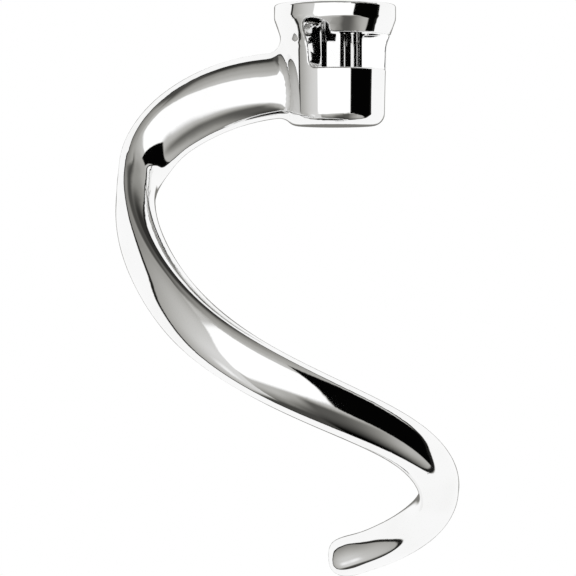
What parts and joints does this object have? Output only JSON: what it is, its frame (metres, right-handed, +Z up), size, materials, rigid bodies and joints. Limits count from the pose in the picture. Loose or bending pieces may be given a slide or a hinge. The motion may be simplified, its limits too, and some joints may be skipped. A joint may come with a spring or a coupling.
{
  "type": "stand mixer dough hook",
  "caption": "Cast steel dough hook: a flared collar with a blind shaft socket and a bayonet window, and one tapering arm that spirals out, down and back under the collar.",
  "frame": {"origin": "on the socket's axis, where its straight wall starts below the chamfered mouth", "axes": "+Z up along the socket's axis, out of its mouth; -Y is the side of the picture, which shows the bayonet window; +X is to the right there, and the arm leaves the collar along -X"},
  "size_m": [0.0812, 0.0657, 0.1383],
  "materials": {
    "polished_steel": "mirror-polished cast stainless steel"
  },
  "bodies": {
    "root": {"dough_hook": "polished_steel"}
  },
  "joints": []
}
